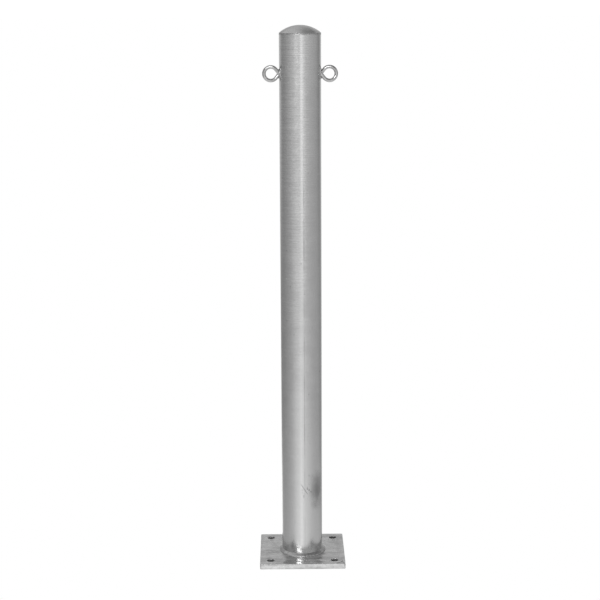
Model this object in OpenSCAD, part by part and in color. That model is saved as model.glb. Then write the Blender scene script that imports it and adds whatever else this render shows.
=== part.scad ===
// Bolt-down post bollard with two chain eyes.
//
// A round steel tube stands on a square base plate and is closed by a dished cap. A bent-bar eye
// on each side takes the chain. The pieces are cut and bent first, welded together, and then
// hot-dip galvanised as one, so every joint is a weld and nothing moves.
//
// Frame: millimetres, +Z up, origin on the ground under the middle of the post, eyes along X.

/* [Post tube] */
// Height of the whole bollard above the ground
post_h = 1000; // [600:10:1200]
// Outside diameter of the tube
tube_d = 76.1; // [60.3:0.1:88.9]
// Wall thickness of the tube
tube_wall = 2.9; // [2.3:0.1:4]

/* [Base plate] */
// Side of the square plate
plate_w = 160; // [150:5:200]
// Thickness of the plate
plate_t = 10; // [8:1:15]
// Radius of the plate's corners
plate_corner_r = 3; // [1:0.5:8]
// Distance between neighbouring anchor holes
bolt_spacing = 120; // [115:5:130]
// Diameter of each anchor hole
bolt_hole_d = 14; // [12:1:16]
// Diameter of the hole under the tube, which lets the zinc bath in and out
drain_hole_d = 30; // [20:1:40]

/* [Dished cap] */
// Height of the cap from the end of the tube to its crown
cap_h = 15.5; // [12:0.5:20]
// Height of the straight rim under the dished part
cap_rim_h = 1.5; // [1:0.5:3]
// Thickness of the pressed sheet
cap_wall = 3; // [2:0.5:4]

/* [Chain eyes] */
// Diameter of the round bar that each eye is bent from
eye_bar_d = 6.5; // [5:0.5:8]
// Inside diameter of each loop
eye_inner_d = 18; // [16:1:24]
// Distance of the eyes below the top of the bollard
eye_drop = 86.5; // [60:0.5:150]
// Slope of the two crossing legs from the horizontal, in degrees
eye_leg_slope = 51.5; // [46:0.5:54]
// How far under the tube's surface the centrelines of the legs would cross
eye_cross_depth = 0.8; // [0.5:0.1:2]

/* [Welds] */
// Width of the base fillet weld along the plate
base_weld_w = 7; // [5:0.5:8]
// Height of the base fillet weld up the tube
base_weld_h = 5; // [4:0.5:7]
// Radius of the bulge across the face of the base fillet weld
base_weld_bulge_r = 9; // [8:0.5:14]
// Radius of the spot weld in the crotch above and below each pair of eye legs
eye_weld_r = 1.6; // [1.4:0.1:2]

/* [Hidden] */

$fn = 96;
zinc = [0.66, 0.67, 0.68];
zinc_plate = [0.60, 0.61, 0.62];
zinc_weld = [0.55, 0.56, 0.57];

// Post and cap
tube_r = tube_d / 2;
tube_inner_r = tube_r - tube_wall;
seam_z = post_h - cap_h;                       // end of the tube, where the cap sits
cap_rise = cap_h - cap_rim_h;                  // height of the dished part alone
cap_sphere_r = (pow(tube_r, 2) + pow(cap_rise, 2)) / (2 * cap_rise);
cap_centre_z = post_h - cap_sphere_r;

// Groove that the cap weld fills, and the low crown that grinding leaves on it
groove_depth = 2;
groove_below = 1.6;
groove_above = 1.2;
weld_crown = 0.15;
crown_half_h = 0.5;

// Chain eyes, each in its own frame: origin at the middle of the loop, tube towards -X
eye_r = (eye_inner_d + eye_bar_d) / 2;         // radius of the loop's centreline
eye_arc = 90 + eye_leg_slope;                  // turn of each half of the loop, where its leg begins
eye_cross_x = eye_r / sin(eye_leg_slope);      // middle of the loop to the crossing of the legs
eye_leg_l = eye_r / tan(eye_leg_slope);        // straight part of a leg, up to the crossing
eye_reach = tube_r - eye_cross_depth + eye_cross_x;
eye_z = post_h - eye_drop;
leg_gap = 0.2;                                 // room between the two legs where they pass
// Each half loop leans by this angle about the loop's outermost point, so that the legs pass
eye_lean = atan((eye_bar_d + leg_gap) / 2 / (eye_r + eye_cross_x));
leg_spare = 0.6 * eye_bar_d;                   // a leg runs on by this much and is coped to the tube
leg_d = eye_bar_d - 0.04;                      // a leg is a hair thinner than the bend it grows from
leg_lap = 0.1;                                 // and starts this far inside the bend

// Crotch between a leg and the tube, where a spot weld lies
leg_offset_y = (eye_r + eye_cross_x - eye_cross_depth) * tan(eye_lean);
crotch_z = eye_cross_depth * tan(eye_leg_slope) + eye_bar_d / 2 / cos(eye_leg_slope);
crotch_lean = (90 - eye_leg_slope) / 2;        // half the angle between the leg and the tube
crotch_gap = 1;                                // crotch to the middle of the spot weld

// Outline of the base plate with rounded corners
module plate_outline() {
    inner_w = plate_w - 2 * plate_corner_r;
    square([plate_w, inner_w], center = true);
    square([inner_w, plate_w], center = true);
    for (x = [-1, 1], y = [-1, 1])
        translate([x, y] * inner_w / 2)
            circle(plate_corner_r);
}

module base_plate() {
    color(zinc_plate)
        linear_extrude(plate_t)
            difference() {
                plate_outline();
                circle(d = drain_hole_d);
                for (x = [-1, 1], y = [-1, 1])
                    translate([x, y] * bolt_spacing / 2)
                        circle(d = bolt_hole_d);
            }
}

// Ring of weld metal between the tube and the cap, ground nearly flush
module cap_weld_ring() {
    rotate_extrude()
        polygon([
            [tube_r - groove_depth, seam_z],
            [tube_r, seam_z - groove_below],
            [tube_r + weld_crown, seam_z - crown_half_h],
            [tube_r + weld_crown, seam_z + crown_half_h],
            [tube_r, seam_z + groove_above]
        ]);
}

module post_tube() {
    color(zinc)
        difference() {
            translate([0, 0, plate_t])
                cylinder(r = tube_r, h = seam_z - plate_t);
            cylinder(r = tube_inner_r, h = post_h);
            cap_weld_ring();
        }
}

// Solid of a dished end: a ball of the given radius inside an upright cylinder
module dish(ball_r, side_r, bottom_z) {
    intersection() {
        translate([0, 0, cap_centre_z])
            sphere(ball_r);
        translate([0, 0, bottom_z])
            cylinder(r = side_r, h = cap_h * 2);
    }
}

module dome_cap() {
    below = 1; // the hollow is cut from this far under the rim
    color(zinc)
        difference() {
            dish(cap_sphere_r, tube_r, seam_z);
            dish(cap_sphere_r - cap_wall, tube_inner_r, seam_z - below);
            cap_weld_ring();
        }
}

// Fillet of weld metal all round the foot of the tube, with a rounded face
module base_weld() {
    chord = norm([base_weld_w, base_weld_h]);
    sink = sqrt(pow(base_weld_bulge_r, 2) - pow(chord / 2, 2));
    face_centre = [base_weld_w, base_weld_h] / 2 - [base_weld_h, base_weld_w] * sink / chord;
    color(zinc_weld)
        translate([0, 0, plate_t])
            rotate_extrude()
                translate([tube_r, 0])
                    intersection() {
                        square([base_weld_w, base_weld_h]);
                        translate(face_centre)
                            circle(base_weld_bulge_r);
                    }
}

module cap_weld() {
    color(zinc_weld) cap_weld_ring();
}

// One half of an eye, leaning by the given angle: half of the loop and the leg that follows it
module half_eye(lean) {
    translate([eye_r, 0, 0])
        rotate([0, 0, lean])
            translate([-eye_r, 0, 0])
                rotate([90, 0, 0]) {
                    rotate_extrude(angle = eye_arc)
                        translate([eye_r, 0])
                            circle(d = eye_bar_d);
                    rotate([0, 0, eye_arc])
                        translate([eye_r, -leg_lap, 0])
                            rotate([-90, 0, 0])
                                cylinder(d = leg_d, h = leg_lap + eye_leg_l + leg_spare);
                }
}

// The bent bar on the +X side before its legs are coped
module eye_bar() {
    translate([eye_reach, 0, eye_z]) {
        half_eye(-eye_lean);
        mirror([0, 0, 1]) half_eye(eye_lean);
    }
}

// The eye on the +X side
module eye() {
    color(zinc)
        difference() {
            eye_bar();
            cylinder(r = tube_r, h = post_h);
        }
}

// Spot weld in the crotch of the +X eye: side is 1 for the one above the legs, -1 for the one below
module eye_weld(side) {
    centre = [
        tube_r + crotch_gap * sin(crotch_lean),
        side * leg_offset_y,
        eye_z + side * (crotch_z + crotch_gap * cos(crotch_lean))
    ];
    color(zinc_weld)
        difference() {
            translate(centre) sphere(eye_weld_r);
            cylinder(r = tube_r, h = post_h);
            eye_bar();
        }
}

// Turns a piece of the +X eye round the post to the -X side
module other_side() {
    rotate([0, 0, 180]) children();
}

base_plate();
post_tube();
dome_cap();
base_weld();
cap_weld();
other_side() eye();  // left_eye
eye();  // right_eye
other_side() eye_weld(1);  // left_eye_upper_weld
other_side() eye_weld(-1);  // left_eye_lower_weld
eye_weld(1);  // right_eye_upper_weld
eye_weld(-1);  // right_eye_lower_weld
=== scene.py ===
"""A hot-dip galvanised post bollard: round tube, dished cap, square base plate and two chain eyes.

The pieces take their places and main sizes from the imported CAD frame. Lengths are in metres, and a
size written in millimetres is multiplied by MM.
"""

import math
import random

import bmesh
import bpy
from mathutils import Matrix, Vector


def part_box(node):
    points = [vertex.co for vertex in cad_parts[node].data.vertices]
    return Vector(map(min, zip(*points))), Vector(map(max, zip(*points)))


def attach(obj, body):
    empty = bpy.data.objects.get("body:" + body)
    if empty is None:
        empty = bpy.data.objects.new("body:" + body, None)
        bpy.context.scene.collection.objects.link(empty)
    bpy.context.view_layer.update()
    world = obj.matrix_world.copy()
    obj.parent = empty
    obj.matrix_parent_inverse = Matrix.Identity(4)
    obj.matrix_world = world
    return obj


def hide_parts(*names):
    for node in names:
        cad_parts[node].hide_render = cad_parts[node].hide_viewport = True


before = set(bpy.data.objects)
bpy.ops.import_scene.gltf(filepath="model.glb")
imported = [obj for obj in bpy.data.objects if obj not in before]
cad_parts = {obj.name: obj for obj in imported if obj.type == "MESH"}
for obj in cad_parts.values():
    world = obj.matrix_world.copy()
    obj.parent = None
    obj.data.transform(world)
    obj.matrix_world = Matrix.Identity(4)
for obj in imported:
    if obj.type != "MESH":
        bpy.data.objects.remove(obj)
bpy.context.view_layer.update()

MM = 0.001

# Driving sizes, worked out from the frame. Each box is its lowest and highest corner
tube_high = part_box("post_tube")[1]
plate_low, plate_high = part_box("base_plate")
cap_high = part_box("dome_cap")[1]
eye_low, eye_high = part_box("right_eye")
foot_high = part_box("base_weld")[1]
band_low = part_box("cap_weld")[0]

TUBE_R = tube_high.x
PLATE_TOP = plate_high.z
SEAM_Z = tube_high.z
CROWN_Z = cap_high.z

# Sizes that no box gives, as the design has them
TUBE_WALL = 2.9 * MM
CAP_RIM = 1.5 * MM
CORNER_R = 3 * MM
ANCHOR_SPACING = 120 * MM
ANCHOR_HOLE_R = 7 * MM
DRAIN_HOLE_R = 15 * MM
BAR_R = 3.25 * MM

# The tube is rolled and welded, and its own seam runs down it, this far to the right of its front
TUBE_SEAM_TURN = math.radians(7.5)

# Sides of every shape that is turned about the post's axis and shows the tube's outline
ROUND_SIDES = 192

# The loop of an eye stands in the XZ plane, and its middle is found from the eye's box
LOOP_R = (eye_high.z - eye_low.z) / 2 - BAR_R
EYE_Z = (eye_high.z + eye_low.z) / 2
EYE_X = eye_high.x - LOOP_R - BAR_R
LEG_SLOPE = math.radians(51.5)
LEG_LENGTH = LOOP_R / math.tan(LEG_SLOPE)
CROSS_X = LOOP_R / math.sin(LEG_SLOPE)
# Each half of a loop leans to its own side, so that the two legs pass with 0.2 mm to spare
EYE_LEAN = math.atan((BAR_R + 0.1 * MM) / (LOOP_R + CROSS_X))


# ---------------------------------------------------------------- colours and nodes


def linear(hex_colour):
    """An sRGB hex colour as the linear RGBA that the shaders take."""
    channels = [int(hex_colour[i:i + 2], 16) / 255 for i in (1, 3, 5)]
    return [c / 12.92 if c <= 0.04045 else ((c + 0.055) / 1.055) ** 2.4 for c in channels] + [1.0]


def add_node(tree, kind, inputs=None, stops=None, **settings):
    """Adds a shader node. inputs maps socket names or numbers to values, or to sockets to link from,
    and stops are a colour ramp's (position, colour) pairs."""
    node = tree.nodes.new("ShaderNode" + kind)
    for name, value in settings.items():
        setattr(node, name, value)
    for socket, value in (inputs or {}).items():
        if isinstance(value, bpy.types.NodeSocket):
            tree.links.new(value, node.inputs[socket])
        else:
            node.inputs[socket].default_value = value
    if stops:
        elements = node.color_ramp.elements
        while len(elements) < len(stops):
            elements.new(1.0)
        for element, (position, colour) in zip(elements, stops):
            element.position = position
            element.color = colour if isinstance(colour, list) else [colour] * 3 + [1.0]
    return node


def new_material(name):
    """An empty node material. Returns it with its tree and its object coordinates, which are metres."""
    material = bpy.data.materials.new(name)
    material.use_nodes = True
    tree = material.node_tree
    tree.nodes.clear()
    place = add_node(tree, "TexCoord").outputs["Object"]
    return material, tree, place


def linished_zinc_tube():
    """Hot-dip galvanised welded tube, linished round before dipping: bright zinc with fine rings that are
    strongest near the top, faint clouds, a few dark specks, and one dull scuff low on the right, with a
    scratch and grit beside it."""
    material, tree, place = new_material("galvanised_linished_tube")
    parts = add_node(tree, "SeparateXYZ", {0: place})
    front = add_node(tree, "Math", {0: parts.outputs["Y"], 1: -1.0}, operation="MULTIPLY")
    turn = add_node(tree, "Math", {0: parts.outputs["X"], 1: front.outputs[0]}, operation="ARCTAN2")
    # The tube's surface laid flat: distance round the tube, and height
    girth = add_node(tree, "Math", {0: turn.outputs[0], 1: TUBE_R}, operation="MULTIPLY")
    flat = add_node(tree, "CombineXYZ", {0: girth.outputs[0], 1: parts.outputs["Z"]})

    # Rings of the linishing belt, 2 mm apart and about 30 mm long. Real ones are finer, and these are as
    # coarse as they need to be to show
    ring_place = add_node(tree, "Mapping", {"Vector": place, "Scale": (30, 30, 520)})
    rings = add_node(tree, "TexNoise", {"Vector": ring_place.outputs[0], "Scale": 1.0, "Detail": 3.0})
    # Short marks between them, about 4 mm long
    mark_place = add_node(tree, "Mapping", {"Vector": place, "Scale": (260, 260, 520)})
    marks = add_node(tree, "TexNoise", {"Vector": mark_place.outputs[0], "Scale": 1.0, "Detail": 2.0})
    both = add_node(tree, "Math", {0: rings.outputs[0], 1: marks.outputs[0]}, operation="ADD")
    # They fade out down the tube, and to the right of the tube's own weld seam
    fade = add_node(tree, "MapRange", {"Value": parts.outputs["Z"], 1: 0.35, 2: 0.99, 3: 0.12, 4: 0.5})
    side = add_node(tree, "MapRange", {"Value": turn.outputs[0], 1: 0.12, 2: 0.5, 3: 1.0, 4: 0.3})
    grain = add_node(tree, "Math", {0: fade.outputs[0], 1: side.outputs[0]}, operation="MULTIPLY")
    centred = add_node(tree, "Math", {0: both.outputs[0], 1: 1.0}, operation="SUBTRACT")
    lines = add_node(tree, "Math", {0: centred.outputs[0], 1: grain.outputs[0]}, operation="MULTIPLY")

    # Clouds of slightly different zinc, about 30 mm across
    clouds = add_node(tree, "TexNoise", {"Vector": place, "Scale": 33.0, "Detail": 4.0, "Roughness": 0.6})
    cloud_part = add_node(tree, "Math", {0: clouds.outputs[0], 1: 0.14}, operation="MULTIPLY")
    shade = add_node(tree, "Math", {0: lines.outputs[0], 1: cloud_part.outputs[0]}, operation="ADD")
    lifted = add_node(tree, "Math", {0: shade.outputs[0], 1: 0.43}, operation="ADD")
    colour = add_node(
        tree, "ValToRGB", {"Fac": lifted.outputs[0]},
        stops=[(0.20, linear("#B0B0B0")), (0.50, linear("#CCCCCC")), (0.80, linear("#E7E7E7"))],
    )

    # Rare specks of ash, 1 to 2 mm across
    specks = add_node(tree, "TexVoronoi", {"Vector": place, "Scale": 150.0})
    dot = add_node(tree, "MapRange", {"Value": specks.outputs["Distance"], 1: 0.07, 2: 0.15, 3: 1.0, 4: 0.0})
    chance = add_node(tree, "SeparateColor", {0: specks.outputs["Color"]})
    rare = add_node(tree, "Math", {0: chance.outputs[0], 1: 0.94}, operation="GREATER_THAN")
    speck = add_node(tree, "Math", {0: dot.outputs[0], 1: rare.outputs[0]}, operation="MULTIPLY")
    spotted = add_node(
        tree, "MixRGB", {0: speck.outputs[0], 1: colour.outputs[0], 2: linear("#797979")})

    # The tube's own weld seam, a thin darker line that comes and goes, and ends below the eyes
    from_seam = add_node(tree, "Math", {0: turn.outputs[0], 1: TUBE_SEAM_TURN}, operation="SUBTRACT")
    seam_side = add_node(tree, "Math", {0: from_seam.outputs[0]}, operation="ABSOLUTE")
    seam_line = add_node(
        tree, "MapRange", {"Value": seam_side.outputs[0], 1: 0.01, 2: 0.028, 3: 1.0, 4: 0.0})
    gaps_place = add_node(tree, "Mapping", {"Vector": place, "Scale": (1, 1, 14)})
    gaps = add_node(tree, "TexNoise", {"Vector": gaps_place.outputs[0], "Scale": 1.0, "Detail": 3.0})
    shown = add_node(tree, "MapRange", {"Value": gaps.outputs[0], 1: 0.42, 2: 0.62, 3: 0.0, 4: 0.5})
    under_eyes = add_node(
        tree, "MapRange", {"Value": parts.outputs["Z"], 1: 0.74, 2: 0.84, 3: 1.0, 4: 0.0})
    seam_part = add_node(tree, "Math", {0: seam_line.outputs[0], 1: shown.outputs[0]}, operation="MULTIPLY")
    seam = add_node(tree, "Math", {0: seam_part.outputs[0], 1: under_eyes.outputs[0]}, operation="MULTIPLY")
    seamed = add_node(tree, "MixRGB", {0: seam.outputs[0], 1: spotted.outputs[0], 2: linear("#8D8D8D")})

    # Dull scuff, where a sling rubbed the zinc: soft, about 20 mm wide and 60 mm tall
    scuff_place = add_node(tree, "Mapping", {"Vector": flat.outputs[0], "Location": (-0.031, -0.138, 0)})
    ragged = add_node(tree, "TexNoise", {"Vector": place, "Scale": 55.0, "Detail": 4.0})
    spread = add_node(tree, "Mapping", {"Vector": scuff_place.outputs[0], "Scale": (57, 24, 1)})
    far = add_node(tree, "VectorMath", {0: spread.outputs[0]}, operation="LENGTH")
    torn = add_node(tree, "Math", {0: far.outputs["Value"], 1: ragged.outputs[0]}, operation="ADD")
    scuff = add_node(
        tree, "MapRange", {"Value": torn.outputs[0], 1: 0.5, 2: 1.8, 3: 0.72, 4: 0.0},
        interpolation_type="SMOOTHSTEP",
    )
    scuffed = add_node(
        tree, "MixRGB", {0: scuff.outputs[0], 1: seamed.outputs[0], 2: linear("#717171")})

    # A thin scratch beside the scuff, about 22 mm long and leaning over to the right
    scratch_place = add_node(
        tree, "Mapping", {"Vector": flat.outputs[0], "Location": (-0.004, -0.142, 0)})
    slant = add_node(
        tree, "Mapping", {"Vector": scratch_place.outputs[0], "Rotation": (0, 0, math.radians(58))})
    along = add_node(tree, "SeparateXYZ", {0: slant.outputs[0]})
    thin = add_node(tree, "Math", {0: along.outputs["Y"]}, operation="ABSOLUTE")
    narrow = add_node(
        tree, "MapRange", {"Value": thin.outputs[0], 1: 0.2 * MM, 2: 0.6 * MM, 3: 1.0, 4: 0.0})
    run = add_node(tree, "Math", {0: along.outputs["X"]}, operation="ABSOLUTE")
    short = add_node(tree, "MapRange", {"Value": run.outputs[0], 1: 9 * MM, 2: 13 * MM, 3: 0.8, 4: 0.0})
    scratch = add_node(tree, "Math", {0: narrow.outputs[0], 1: short.outputs[0]}, operation="MULTIPLY")
    marked = add_node(
        tree, "MixRGB", {0: scratch.outputs[0], 1: scuffed.outputs[0], 2: linear("#616161")})

    # Grit rubbed in round the scratch, in grains 2 to 3 mm across. They are coarser than real ones, so that
    # they show
    grit_place = add_node(tree, "Mapping", {"Vector": flat.outputs[0], "Location": (-0.011, -0.136, 0)})
    grit_spread = add_node(tree, "Mapping", {"Vector": grit_place.outputs[0], "Scale": (75, 55, 1)})
    grit_far = add_node(tree, "VectorMath", {0: grit_spread.outputs[0]}, operation="LENGTH")
    grit_room = add_node(
        tree, "MapRange", {"Value": grit_far.outputs["Value"], 1: 0.3, 2: 1.1, 3: 0.7, 4: 0.0})
    grains = add_node(tree, "TexVoronoi", {"Vector": place, "Scale": 300.0})
    grain_dot = add_node(
        tree, "MapRange", {"Value": grains.outputs["Distance"], 1: 0.28, 2: 0.48, 3: 1.0, 4: 0.0})
    grain_chance = add_node(tree, "SeparateColor", {0: grains.outputs["Color"]})
    grain_rare = add_node(tree, "Math", {0: grain_chance.outputs[0], 1: 0.72}, operation="GREATER_THAN")
    grit = add_node(tree, "Math", {0: grain_dot.outputs[0], 1: grain_rare.outputs[0]}, operation="MULTIPLY")
    grit_part = add_node(tree, "Math", {0: grit.outputs[0], 1: grit_room.outputs[0]}, operation="MULTIPLY")
    gritty = add_node(
        tree, "MixRGB", {0: grit_part.outputs[0], 1: marked.outputs[0], 2: linear("#525252")})

    # The rings stretch each highlight along the tube, and the scuff is rougher
    roughness = add_node(tree, "MapRange", {"Value": clouds.outputs[0], 1: 0.3, 2: 0.7, 3: 0.17, 4: 0.23})
    duller = add_node(
        tree, "Math", {0: scuff.outputs[0], 1: 0.25, 2: roughness.outputs[0]}, operation="MULTIPLY_ADD")
    bump = add_node(tree, "Bump", {"Height": lines.outputs[0], "Strength": 0.3, "Distance": 0.03 * MM})
    around = add_node(tree, "Tangent", direction_type="RADIAL", axis="Z")
    shader = add_node(tree, "BsdfPrincipled", {
        "Base Color": gritty.outputs[0], "Metallic": 1.0, "Roughness": duller.outputs[0],
        "Normal": bump.outputs[0], "Anisotropic": 0.5, "Anisotropic Rotation": 0.25,
        "Tangent": around.outputs[0],
    })
    add_node(tree, "OutputMaterial", {"Surface": shader.outputs[0]})
    return material


def pooled_zinc_plate():
    """Hot-dip galvanised hot-rolled plate: smooth zinc that pooled and ran, so it mirrors softly, with
    faint spangle and dull streaks."""
    material, tree, place = new_material("galvanised_rolled_plate")
    # Streaks about 30 mm long and 13 mm wide, dragged across the plate as it left the bath
    drag = add_node(tree, "Mapping", {"Vector": place, "Rotation": (0, 0, 0.7), "Scale": (30, 75, 60)})
    streaks = add_node(
        tree, "TexNoise", {"Vector": drag.outputs[0], "Scale": 1.0, "Detail": 4.0, "Distortion": 0.8})
    # Spangle grains about 5 mm across
    grains = add_node(tree, "TexVoronoi", {"Vector": place, "Scale": 200.0})
    grain_shade = add_node(tree, "SeparateColor", {0: grains.outputs["Color"]})
    shade = add_node(
        tree, "Mix", {"Factor": 0.12, "A": streaks.outputs[0], "B": grain_shade.outputs[0]})
    colour = add_node(
        tree, "ValToRGB", {"Fac": shade.outputs[0]},
        stops=[(0.28, linear("#ABABAB")), (0.48, linear("#C8C8C8")), (0.68, linear("#DDDDDD"))],
    )
    roughness = add_node(tree, "MapRange", {"Value": streaks.outputs[0], 1: 0.35, 2: 0.65, 3: 0.2, 4: 0.3})
    bump = add_node(tree, "Bump", {"Height": streaks.outputs[0], "Strength": 0.2, "Distance": 0.015 * MM})
    shader = add_node(tree, "BsdfPrincipled", {
        "Base Color": colour.outputs[0], "Metallic": 1.0, "Roughness": roughness.outputs[0],
        "Normal": bump.outputs[0],
    })
    add_node(tree, "OutputMaterial", {"Surface": shader.outputs[0]})
    return material


def pressed_zinc_cap():
    """Hot-dip galvanised pressed steel cap: satin zinc with soft cloudy patches about 14 mm across."""
    material, tree, place = new_material("galvanised_pressed_cap")
    clouds = add_node(tree, "TexNoise", {"Vector": place, "Scale": 70.0, "Detail": 4.0, "Roughness": 0.6})
    colour = add_node(
        tree, "ValToRGB", {"Fac": clouds.outputs[0]},
        stops=[(0.35, linear("#C1C1C1")), (0.65, linear("#CECECE"))],
    )
    roughness = add_node(tree, "MapRange", {"Value": clouds.outputs[0], 1: 0.3, 2: 0.7, 3: 0.22, 4: 0.34})
    bump = add_node(tree, "Bump", {"Height": clouds.outputs[0], "Strength": 0.2, "Distance": 0.05 * MM})
    shader = add_node(tree, "BsdfPrincipled", {
        "Base Color": colour.outputs[0], "Metallic": 1.0, "Roughness": roughness.outputs[0],
        "Normal": bump.outputs[0],
    })
    add_node(tree, "OutputMaterial", {"Surface": shader.outputs[0]})
    return material


def zinc_on_weld():
    """Galvanised arc-weld metal: zinc in lumps about 4 mm across, duller in the hollows."""
    material, tree, place = new_material("galvanised_weld_bead")
    lumps = add_node(tree, "TexNoise", {"Vector": place, "Scale": 250.0, "Detail": 3.0})
    colour = add_node(
        tree, "ValToRGB", {"Fac": lumps.outputs[0]},
        stops=[(0.35, linear("#ABABAB")), (0.65, linear("#C9C9C9"))],
    )
    bump = add_node(tree, "Bump", {"Height": lumps.outputs[0], "Strength": 0.3, "Distance": 0.08 * MM})
    shader = add_node(tree, "BsdfPrincipled", {
        "Base Color": colour.outputs[0], "Metallic": 1.0, "Roughness": 0.34, "Normal": bump.outputs[0],
    })
    add_node(tree, "OutputMaterial", {"Surface": shader.outputs[0]})
    return material


def bright_zinc_bar():
    """Galvanised cold-drawn round bar: smooth and bright, with faint clouds about 6 mm across."""
    material, tree, place = new_material("galvanised_drawn_bar")
    clouds = add_node(tree, "TexNoise", {"Vector": place, "Scale": 180.0, "Detail": 3.0})
    colour = add_node(
        tree, "ValToRGB", {"Fac": clouds.outputs[0]},
        stops=[(0.35, linear("#B4B4B4")), (0.65, linear("#C6C6C6"))],
    )
    bump = add_node(tree, "Bump", {"Height": clouds.outputs[0], "Strength": 0.2, "Distance": 0.04 * MM})
    shader = add_node(tree, "BsdfPrincipled", {
        "Base Color": colour.outputs[0], "Metallic": 1.0, "Roughness": 0.12, "Normal": bump.outputs[0],
    })
    add_node(tree, "OutputMaterial", {"Surface": shader.outputs[0]})
    return material


# ---------------------------------------------------------------- modelling tools


def clear_selection():
    """Leaves edit mode and selects nothing, because an operator acts on all that is selected."""
    if bpy.context.mode != "OBJECT":
        bpy.ops.object.mode_set(mode="OBJECT")
    bpy.ops.object.select_all(action="DESELECT")


def open_piece(name):
    """Names the primitive that was just added, moves its place into its mesh and opens it for editing."""
    piece = bpy.context.object
    piece.name = piece.data.name = name
    bpy.ops.object.transform_apply(location=True, rotation=True, scale=True)
    bpy.ops.object.mode_set(mode="EDIT")
    return piece


def pick(kind, wanted):
    """In edit mode, selects only the elements of a kind, VERT or EDGE, that wanted(element) accepts."""
    bpy.ops.mesh.select_mode(type=kind)
    bpy.ops.mesh.select_all(action="DESELECT")
    mesh = bmesh.from_edit_mesh(bpy.context.object.data)
    for element in mesh.verts if kind == "VERT" else mesh.edges:
        if wanted(element):
            element.select_set(True)
    mesh.select_flush_mode()
    bmesh.update_edit_mesh(bpy.context.object.data)


def middle(edge):
    """The middle of an edge."""
    return (edge.verts[0].co + edge.verts[1].co) / 2


def azimuth(place):
    """Angle of a place round the post, from the front and positive towards +X."""
    return math.atan2(place.x, -place.y)


def turn_shape(name, sides, profile):
    """Turns a profile of (radius, height) points about the post's axis, by extruding a circle through
    them. Leaves the piece open for editing."""
    radius, z = profile[0]
    clear_selection()
    bpy.ops.mesh.primitive_circle_add(vertices=sides, radius=radius, location=(0, 0, z))
    piece = open_piece(name)
    bpy.ops.mesh.select_all(action="SELECT")
    for (old_r, old_z), (new_r, new_z) in zip(profile, profile[1:]):
        bpy.ops.mesh.extrude_region_move(TRANSFORM_OT_translate={"value": (0, 0, new_z - old_z)})
        bpy.ops.transform.resize(value=(new_r / old_r, new_r / old_r, 1), center_override=(0, 0, 0))
    return piece


def close_ring(profile):
    """Joins the last circle of a turned profile to its first, which makes the shape solid, and leaves
    edit mode."""
    ends = profile[0], profile[-1]
    pick("EDGE", lambda e: any(
        all(abs(v.co.xy.length - r) < 0.01 * MM and abs(v.co.z - z) < 0.01 * MM for v in e.verts)
        for r, z in ends))
    bpy.ops.mesh.bridge_edge_loops()
    face_outwards()


def face_outwards():
    """Turns every face of the open piece to face out of the solid, and leaves edit mode."""
    bpy.ops.mesh.select_all(action="SELECT")
    bpy.ops.mesh.normals_make_consistent(inside=False)
    clear_selection()


def blob(name, place, size, turn=0.0, tilt=0.0):
    """A ball squashed to the given radii, tilted, then turned about Z and put in its place."""
    clear_selection()
    bpy.ops.mesh.primitive_uv_sphere_add(
        segments=16, ring_count=10, radius=1, location=place, rotation=(0, tilt, turn), scale=size)
    piece = open_piece(name)
    clear_selection()
    return piece


def shape_with(piece, kind, **settings):
    """Adds a modifier with the given settings and applies it."""
    if bpy.context.mode != "OBJECT":
        bpy.ops.object.mode_set(mode="OBJECT")
    modifier = piece.modifiers.new(kind.title(), kind)
    for name, value in settings.items():
        setattr(modifier, name, value)
    bpy.context.view_layer.objects.active = piece
    bpy.ops.object.modifier_apply(modifier=modifier.name)


def join_pieces(pieces, name):
    """Joins pieces into one mesh."""
    clear_selection()
    for piece in pieces:
        piece.select_set(True)
    bpy.context.view_layer.objects.active = pieces[0]
    bpy.ops.object.join()
    pieces[0].name = pieces[0].data.name = name
    return pieces[0]


def delete_piece(piece):
    """Removes a piece that was only a tool."""
    bpy.data.objects.remove(piece, do_unlink=True)


def uneven(piece, size, depth):
    """Moves the surface in and out by up to half of depth, in soft lumps of the given size, as molten
    zinc leaves it."""
    lumps = bpy.data.textures.new(piece.name + "_lumps", "CLOUDS")
    lumps.noise_scale = size
    shape_with(piece, "DISPLACE", texture=lumps, texture_coords="LOCAL", strength=depth, mid_level=0.5)


def finish_piece(piece, material, slot, *nodes, angle=30):
    """Shades a piece, gives it its material and ties it to the frame in place of its CAD nodes."""
    clear_selection()
    piece.select_set(True)
    bpy.context.view_layer.objects.active = piece
    bpy.ops.object.shade_smooth_by_angle(angle=math.radians(angle))
    piece.data.materials.clear()
    piece.data.materials.append(material)
    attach(piece, "root")
    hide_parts(*nodes)


# ---------------------------------------------------------------- the pieces


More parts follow.
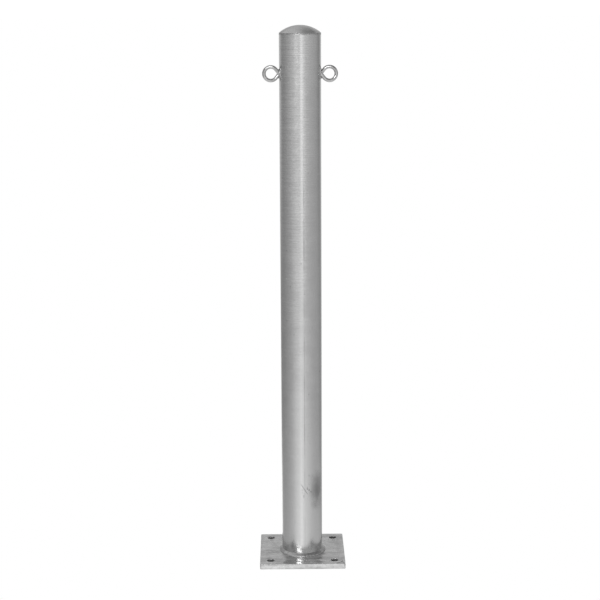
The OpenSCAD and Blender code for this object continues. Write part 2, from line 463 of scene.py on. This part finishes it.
def make_tube(rng):
    """The post: a wall with a faint weld seam down its length and a few pimples of zinc."""
    ridge = 0.006 * MM
    inner_r = TUBE_R - TUBE_WALL
    top = band_low.z
    profile = [(TUBE_R, PLATE_TOP), (TUBE_R, top), (inner_r, top), (inner_r, PLATE_TOP)]
    tube = turn_shape("tube", ROUND_SIDES, profile)
    close_ring(profile)
    bpy.ops.object.mode_set(mode="EDIT")
    pick("EDGE", lambda e: abs(e.verts[0].co.z - e.verts[1].co.z) > 1 * MM
         and middle(e).xy.length > TUBE_R - 1 * MM)
    bpy.ops.mesh.subdivide(number_cuts=159)
    # One line of points down the outside is raised as the tube's own weld seam
    pick("VERT", lambda v: abs(azimuth(v.co) - TUBE_SEAM_TURN) < math.pi / ROUND_SIDES
         and v.co.xy.length > TUBE_R - 1 * MM)
    swell = 1 + ridge / TUBE_R
    bpy.ops.transform.resize(value=(swell, swell, 1), center_override=(0, 0, 0))
    clear_selection()
    uneven(tube, 45 * MM, 0.05 * MM)
    # One wide pimple close under the cap, and a dozen small ones anywhere
    drops = [tube, zinc_drop(-27.5, SEAM_Z - 17 * MM, 2.3 * MM, 1.1 * MM)]
    for _ in range(12):
        size = rng.uniform(0.5, 1.2) * MM
        drops.append(zinc_drop(rng.uniform(-180, 180), rng.uniform(0.05, 0.95), size, size))
    return join_pieces(drops, "tube")


def zinc_drop(degrees, z, half_width, half_height):
    """A low pimple of zinc on the tube, at an angle round from the front and a height."""
    turn = math.radians(degrees)
    place = (TUBE_R * math.sin(turn), -TUBE_R * math.cos(turn), z)
    return blob("zinc_drop", place, (half_width, 0.5 * MM, half_height), turn=turn)


def make_cap():
    """The dished cap: a ball's top on a short straight rim with a rounded shoulder, pressed from sheet."""
    rim_z = SEAM_Z + CAP_RIM
    rise = CROWN_Z - rim_z
    ball_r = (TUBE_R ** 2 + rise ** 2) / (2 * rise)
    edge = math.asin(TUBE_R / ball_r)
    shoulder = 0.9 * MM
    profile = [(TUBE_R - 0.7 * MM, SEAM_Z + 0.8 * MM), (TUBE_R - 0.15 * MM, SEAM_Z + 1.2 * MM)]
    # The shoulder's arc turns from upright to the slope of the dish, pressed a little flat
    flatness = 0.6
    steps = 5
    for i in range(steps):
        lean = (math.pi / 2 - edge) * i / steps
        profile.append((
            TUBE_R - shoulder * (1 - math.cos(lean)), rim_z + shoulder * math.sin(lean) * flatness))
    # The dish begins where the shoulder ends, a little inside the full width, and closes at the crown
    start = edge * 0.965
    rings = 40
    for i in range(rings):
        angle = start * (1 - i / rings)
        profile.append((ball_r * math.sin(angle), CROWN_Z - ball_r * (1 - math.cos(angle))))
    cap = turn_shape("cap", ROUND_SIDES, profile)
    bpy.ops.mesh.merge(type="CENTER")
    pick("VERT", lambda v: v.co.xy.length < 0.01 * MM)
    mesh = bmesh.from_edit_mesh(cap.data)
    now = next(v.co.z for v in mesh.verts if v.select)
    bpy.ops.transform.translate(value=(0, 0, CROWN_Z - now))
    face_outwards()
    uneven(cap, 25 * MM, 0.06 * MM)
    shape_with(cap, "SOLIDIFY", thickness=2.5 * MM, offset=-1)
    return cap


def make_cap_band():
    """The seam weld between tube and cap, ground low. It wanders a little and leaves a groove under the
    cap."""
    inner_r = TUBE_R - TUBE_WALL
    profile = [
        (TUBE_R, band_low.z),
        (TUBE_R + 0.06 * MM, SEAM_Z - 1.1 * MM),
        (TUBE_R + 0.12 * MM, SEAM_Z - 0.5 * MM),
        (TUBE_R + 0.10 * MM, SEAM_Z),
        (TUBE_R - 0.1 * MM, SEAM_Z + 0.4 * MM),
        (TUBE_R - 0.7 * MM, SEAM_Z + 0.9 * MM),
        (inner_r, SEAM_Z + 0.9 * MM),
        (inner_r, band_low.z),
    ]
    band = turn_shape("cap_seam_weld", ROUND_SIDES, profile)
    close_ring(profile)
    uneven(band, 6 * MM, 0.08 * MM)
    return band


def make_plate():
    """The base plate: a sheared square with softened edges, four anchor holes and a drain hole."""
    size = plate_high - plate_low
    edge_r = 0.25 * MM
    hole_edge_r = 0.3 * MM
    reach = ANCHOR_SPACING / 2
    holes = [(x * reach, y * reach, ANCHOR_HOLE_R) for x in (-1, 1) for y in (-1, 1)]
    holes.append((0, 0, DRAIN_HOLE_R))
    clear_selection()
    bpy.ops.mesh.primitive_cube_add(size=1, location=(0, 0, size.z / 2), scale=size)
    plate = open_piece("plate")
    pick("EDGE", lambda e: abs(e.verts[0].co.z - e.verts[1].co.z) > 1 * MM)
    bpy.ops.mesh.bevel(offset=CORNER_R, segments=6, affect="EDGES")
    pick("EDGE", lambda e: abs(e.verts[0].co.z - e.verts[1].co.z) < 0.01 * MM)
    bpy.ops.mesh.bevel(offset=edge_r, segments=3, affect="EDGES")
    drills = []
    for x, y, radius in holes:
        clear_selection()
        bpy.ops.mesh.primitive_cylinder_add(
            vertices=64, radius=radius, depth=3 * size.z, location=(x, y, size.z / 2))
        open_piece("drill")
        clear_selection()
        drills.append(bpy.context.object)
    drill = join_pieces(drills, "drill")
    shape_with(plate, "BOOLEAN", operation="DIFFERENCE", object=drill, solver="EXACT")
    delete_piece(drill)
    shape_with(
        plate, "BEVEL", width=hole_edge_r, segments=2, limit_method="ANGLE", angle_limit=math.radians(60))
    # Zinc set thick at the corner that the plate last hung from: folds cut between low runs of it, each
    # given in millimetres as (x, y, half length, half breadth) and a turn in degrees. The folds cross, so
    # each is cut by itself
    folds = ((68, -73, 6.5, 2.0, 28), (74.5, -68, 6, 1.7, 62), (77.5, -77, 4, 1.8, 45))
    for x, y, length, breadth, degrees in folds:
        place = (x * MM, y * MM, PLATE_TOP)
        half = (length * MM, breadth * MM, 3 * MM)
        fold = blob("fold", place, half, turn=math.radians(degrees))
        shape_with(plate, "BOOLEAN", operation="DIFFERENCE", object=fold, solver="EXACT")
        delete_piece(fold)
    runs = ((64.5, -76.3, 4.5, 1.3, 12), (76.4, -71.5, 1.6, 4.5, 0))
    pieces = [plate]
    for x, y, length, breadth, degrees in runs:
        place = (x * MM, y * MM, PLATE_TOP - 0.2 * MM)
        half = (length * MM, breadth * MM, 0.9 * MM)
        pieces.append(blob("zinc_run", place, half, turn=math.radians(degrees)))
    return join_pieces(pieces, "plate")


def make_foot_weld(rng):
    """The fillet weld at the foot: a smooth fillet with flat ripples laid over it, fused into one bead."""
    width = foot_high.x - TUBE_R
    height = foot_high.z - PLATE_TOP
    toe = PLATE_TOP - 0.8 * MM
    root_r = TUBE_R - 1 * MM
    head = PLATE_TOP + height * 0.97
    core = [
        (root_r, toe),
        (TUBE_R + width * 0.80, toe),
        (TUBE_R + width * 0.78, PLATE_TOP + 0.15 * MM),
        (TUBE_R + width * 0.58, PLATE_TOP + height * 0.36),
        (TUBE_R + width * 0.28, PLATE_TOP + height * 0.68),
        (TUBE_R + 0.1 * MM, head),
        (root_r, head),
    ]
    weld = turn_shape("foot_weld", 128, core)
    close_ring(core)
    beads = [weld]
    ripples = 96
    lay = 0.08
    slope = math.atan2(height, width)
    for i in range(ripples):
        turn = 2 * math.pi * (i + rng.uniform(-0.25, 0.25)) / ripples
        # The bead was laid about 1 mm wider towards +X than towards -X
        reach = TUBE_R + width * (rng.uniform(0.42, 0.48) + lay * math.cos(turn))
        place = (reach * math.cos(turn), reach * math.sin(turn), PLATE_TOP + height * 0.44)
        size = (rng.uniform(3.3, 3.8) * MM, 1.9 * MM, rng.uniform(0.55, 0.75) * MM)
        beads.append(blob("ripple", place, size, turn=turn, tilt=slope))
    weld = join_pieces(beads, "foot_weld")
    shape_with(weld, "REMESH", mode="VOXEL", voxel_size=0.55 * MM)
    shape_with(weld, "SMOOTH", factor=0.5, iterations=6)
    uneven(weld, 14 * MM, 0.3 * MM)
    # What lies in the plate is cut away, and the cut is closed just under the plate's top
    bpy.ops.object.mode_set(mode="EDIT")
    bpy.ops.mesh.select_all(action="SELECT")
    bpy.ops.mesh.bisect(
        plane_co=(0, 0, PLATE_TOP - 0.1 * MM), plane_no=(0, 0, 1), clear_inner=True, use_fill=True)
    clear_selection()
    return weld


def make_right_eye():
    """Round bar bent into a loop. Each half is spun from the outermost point, leans to its own side and ends
    in a straight leg, so that the two legs pass one another where they meet the tube."""
    tip = Vector((EYE_X + LOOP_R, 0, EYE_Z))
    turn = math.pi / 2 + LEG_SLOPE
    up = Vector((0, 0, 1))
    clear_selection()
    bpy.ops.mesh.primitive_circle_add(vertices=32, radius=BAR_R, location=tip)
    eye = open_piece("right_eye_bar")
    for side in (1, -1):
        outward = Vector((math.cos(EYE_LEAN), -side * math.sin(EYE_LEAN), 0))
        pick("EDGE", lambda e: all(abs(v.co.z - EYE_Z) < 0.01 * MM and v.co.x > EYE_X for v in e.verts))
        bpy.ops.mesh.spin(
            steps=48, angle=turn, center=tip - LOOP_R * outward, axis=side * up.cross(outward))
        along = -math.sin(turn) * outward + side * math.cos(turn) * up
        bpy.ops.mesh.extrude_region_move(
            TRANSFORM_OT_translate={"value": along * (LEG_LENGTH + 1.2 * BAR_R)})
        bpy.ops.mesh.edge_face_add()
    face_outwards()
    # The legs are coped to the tube, and reach a little into it
    bite = 0.3 * MM
    clear_selection()
    bpy.ops.mesh.primitive_cylinder_add(
        vertices=128, radius=TUBE_R - bite, depth=80 * MM, location=(0, 0, EYE_Z))
    cope = open_piece("cope")
    clear_selection()
    shape_with(eye, "BOOLEAN", operation="DIFFERENCE", object=cope, solver="EXACT")
    delete_piece(cope)
    return eye


def make_eye_weld(node):
    """A small lumpy spot weld in the crotch between a leg and the tube."""
    low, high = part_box(node)
    half = (high - low) / 2
    weld = blob(node + "_bead", (low + high) / 2, (half.x * 1.1, half.y, half.z * 1.05))
    shape_with(weld, "SUBSURF", levels=1, render_levels=1)
    uneven(weld, 1.5 * MM, 0.5 * MM)
    return weld


def turned_copy(piece, name):
    """A copy of a piece, turned half a turn round the post."""
    clear_selection()
    piece.select_set(True)
    bpy.context.view_layer.objects.active = piece
    bpy.ops.object.duplicate()
    copy = bpy.context.object
    copy.name = copy.data.name = name
    bpy.ops.transform.rotate(value=math.pi, orient_axis="Z", center_override=(0, 0, 0))
    bpy.ops.object.transform_apply(location=True, rotation=True, scale=True)
    return copy


# ---------------------------------------------------------------- stage, light and camera


def make_floor():
    """A plain pale floor: white acrylic lit evenly from below, which shows no shadow. The zinc doesn't
    mirror it, but it does mirror the grey sheet under the plate, which shows through the plate's holes. The
    sheet is painted shade: it is greyer than the floor and stands in for the shade under the plate, and the
    dome lights it as well."""
    acrylic, tree, _ = new_material("lit_white_acrylic_floor")
    glow = add_node(tree, "Emission", {"Color": linear("#FFFFFF"), "Strength": 1.0})
    add_node(tree, "OutputMaterial", {"Surface": glow.outputs[0]})
    # Painted shade: the sheet under the plate is grey rather than white and stands in for the shade there.
    # The dome also lights it, so real shade adds to it.
    ground, tree, _ = new_material("grey_ground_painted_shade_under_plate")
    dull = add_node(tree, "BsdfPrincipled", {"Base Color": linear("#B5B5B5"), "Roughness": 0.9})
    add_node(tree, "OutputMaterial", {"Surface": dull.outputs[0]})
    for name, size, height, material in (
            ("floor", 160, 0, acrylic), ("ground_under_plate", 150 * MM, 0.1 * MM, ground)):
        clear_selection()
        bpy.ops.mesh.primitive_plane_add(size=size, location=(0, 0, height))
        floor = bpy.context.object
        floor.name = name
        floor.data.materials.append(material)
        floor.visible_glossy = material is ground
        floor.visible_diffuse = material is ground


def compass(degrees):
    """Place on an azimuth ramp: 0 is straight in front of the post, and positive is towards +X."""
    return (degrees + 180) / 360


def light_studio():
    """Soft studio light. Mat surfaces are lit by an even white dome, and the zinc mirrors the studio:
    bright paper in front of and behind the post, and greyer screens at its sides. Each row is one height
    of the studio wall, given as (angle round the post, brightness)."""
    world = bpy.data.worlds.new("studio")
    bpy.context.scene.world = world
    world.use_nodes = True
    tree = world.node_tree
    tree.nodes.clear()
    way = add_node(tree, "TexCoord").outputs["Generated"]
    parts = add_node(tree, "SeparateXYZ", {0: way})
    front = add_node(tree, "Math", {0: parts.outputs["Y"], 1: -1.0}, operation="MULTIPLY")
    angle = add_node(tree, "Math", {0: parts.outputs["X"], 1: front.outputs[0]}, operation="ARCTAN2")
    azimuth_place = add_node(tree, "MapRange", {"Value": angle.outputs[0], 1: -math.pi, 2: math.pi})

    near_floor = [(-180, 0.85), (180, 0.85)]
    low = [(-180, 1.6), (-160, 1.1), (-144, 0.56), (-130, 0.48), (-92, 0.54), (-69, 0.62), (-49, 0.75),
           (-30, 0.98), (-14, 1.1), (-3, 1.35), (6, 1.12), (23, 1.0), (41, 0.88), (61, 0.76), (82, 0.7),
           (109, 0.66), (133, 0.54), (155, 0.5), (180, 0.65)]
    middle_row = [(-180, 0.8), (-162, 0.5), (-148, 0.32), (-126, 0.30), (-104, 0.34), (-79, 0.40),
                  (-59, 0.46), (-40, 0.6), (-22, 0.7), (-5, 0.82), (8, 0.76), (14, 0.63), (29, 0.61),
                  (47, 0.57), (67, 0.52), (89, 0.48), (112, 0.45), (128, 0.36), (143, 0.36), (158, 0.6),
                  (180, 1.1)]
    high = [(-180, 0.85), (-158, 0.7), (-136, 0.56), (-121, 0.37), (-105, 0.34), (-87, 0.41), (-65, 0.56),
            (-47, 0.72), (-30, 0.76), (-14, 0.72), (-4, 0.8), (3, 1.6), (10, 1.45), (18, 1.1), (32, 0.72),
            (53, 0.57), (73, 0.52), (95, 0.46), (120, 0.31), (134, 0.40), (152, 0.75), (180, 1.1)]
    screens = [(-180, 0.54), (-150, 0.39), (-125, 0.34), (-100, 0.36), (-60, 0.42), (-25, 0.55), (0, 0.62),
               (50, 0.68), (100, 0.52), (128, 0.37), (150, 0.5), (180, 0.57)]
    ceiling = [(-180, 0.56), (-145, 0.68), (-90, 0.64), (-40, 0.54), (0, 0.44), (40, 0.31), (110, 0.18),
               (150, 0.27), (180, 0.52)]
    rows = []
    for row in (near_floor, low, middle_row, high, screens, ceiling):
        rows.append(add_node(
            tree, "ValToRGB", {"Fac": azimuth_place.outputs[0]},
            stops=[(compass(degrees), brightness / 2) for degrees, brightness in row],
        ))
    blend = rows[0]
    joins = [(-34.0, -24.0), (-16.9, -15.3), (-11.0, -4.0), (-0.5, 2.5), (28.0, 42.0)]
    # The second join is the paper's far edge, which lies lower at the sides of the studio than in front
    edge = add_node(
        tree, "ValToRGB", {"Fac": azimuth_place.outputs[0]},
        stops=[(compass(-90), 0.5), (compass(-10), 0.0), (compass(30), 0.25), (compass(75), 0.9)],
    )
    sunk = add_node(
        tree, "Math", {0: edge.outputs[0], 1: 0.05, 2: parts.outputs["Z"]}, operation="MULTIPLY_ADD")
    heights = [parts.outputs["Z"], sunk.outputs[0]] + [parts.outputs["Z"]] * 3
    for row, height, (bottom, top) in zip(rows[1:], heights, joins):
        rise = add_node(
            tree, "MapRange",
            {"Value": height, 1: math.sin(math.radians(bottom)), 2: math.sin(math.radians(top))},
            interpolation_type="SMOOTHSTEP",
        )
        blend = add_node(
            tree, "MixRGB", {0: rise.outputs[0], 1: blend.outputs[0], 2: row.outputs[0]},
        )
    mirrored = add_node(tree, "Background", {"Color": blend.outputs[0], "Strength": 2.0})
    dome = add_node(tree, "Background", {"Color": linear("#FFFFFF"), "Strength": 1.1})
    ray = add_node(tree, "LightPath")
    both = add_node(
        tree, "MixShader", {0: ray.outputs["Is Glossy Ray"], 1: dome.outputs[0], 2: mirrored.outputs[0]})
    add_node(tree, "OutputWorld", {"Surface": both.outputs[0]})

    # Soft box in front, to the left and above the camera
    box = bpy.data.lights.new("front_softbox", "AREA")
    box.shape = "RECTANGLE"
    box.size = 5.4
    box.size_y = 3.1
    box.energy = 330
    lamp = bpy.data.objects.new("front_softbox", box)
    bpy.context.collection.objects.link(lamp)
    lamp.location = (-4.0, -11.2, 4.75)
    lamp.rotation_euler = (Vector((0, 0, 0)) - lamp.location).to_track_quat("-Z", "Y").to_euler()


def set_camera():
    """Long lens a little over the post's height, in front and a touch to the left, looking slightly down."""
    lens = bpy.data.cameras.new("camera")
    lens.sensor_width = 36
    lens.lens = 89.53
    lens.clip_end = 300
    camera = bpy.data.objects.new("camera", lens)
    bpy.context.collection.objects.link(camera)
    yaw, pitch, roll = (math.radians(a) for a in (0.620, 11.505, -0.270))
    camera.matrix_world = (
        Matrix.Translation((-0.0315, -2.7144, 1.0500))
        @ Matrix.Rotation(-yaw, 4, "Z")
        @ Matrix.Rotation(math.pi / 2 - pitch, 4, "X")
        @ Matrix.Rotation(roll, 4, "Z")
    )
    bpy.context.scene.camera = camera
    bpy.context.scene.view_settings.view_transform = "Standard"


rng = random.Random(7)
set_camera()
light_studio()
make_floor()

tube_zinc = linished_zinc_tube()
plate_zinc = pooled_zinc_plate()
cap_zinc = pressed_zinc_cap()
weld_zinc = zinc_on_weld()
bar_zinc = bright_zinc_bar()

finish_piece(make_tube(rng), tube_zinc, "tube_zinc", "post_tube")
finish_piece(make_cap(), cap_zinc, "cap_zinc", "dome_cap")
finish_piece(make_cap_band(), weld_zinc, "weld_zinc", "cap_weld", angle=50)
finish_piece(make_plate(), plate_zinc, "plate_zinc", "base_plate")
finish_piece(make_foot_weld(rng), weld_zinc, "weld_zinc", "base_weld", angle=180)
right_eye = make_right_eye()
left_eye = turned_copy(right_eye, "left_eye_bar")
finish_piece(right_eye, bar_zinc, "wire_zinc", "right_eye")
finish_piece(left_eye, bar_zinc, "wire_zinc", "left_eye")
EYE_WELDS = ("left_eye_upper_weld", "left_eye_lower_weld", "right_eye_upper_weld", "right_eye_lower_weld")
for node in EYE_WELDS:
    finish_piece(make_eye_weld(node), weld_zinc, "weld_zinc", node, angle=180)
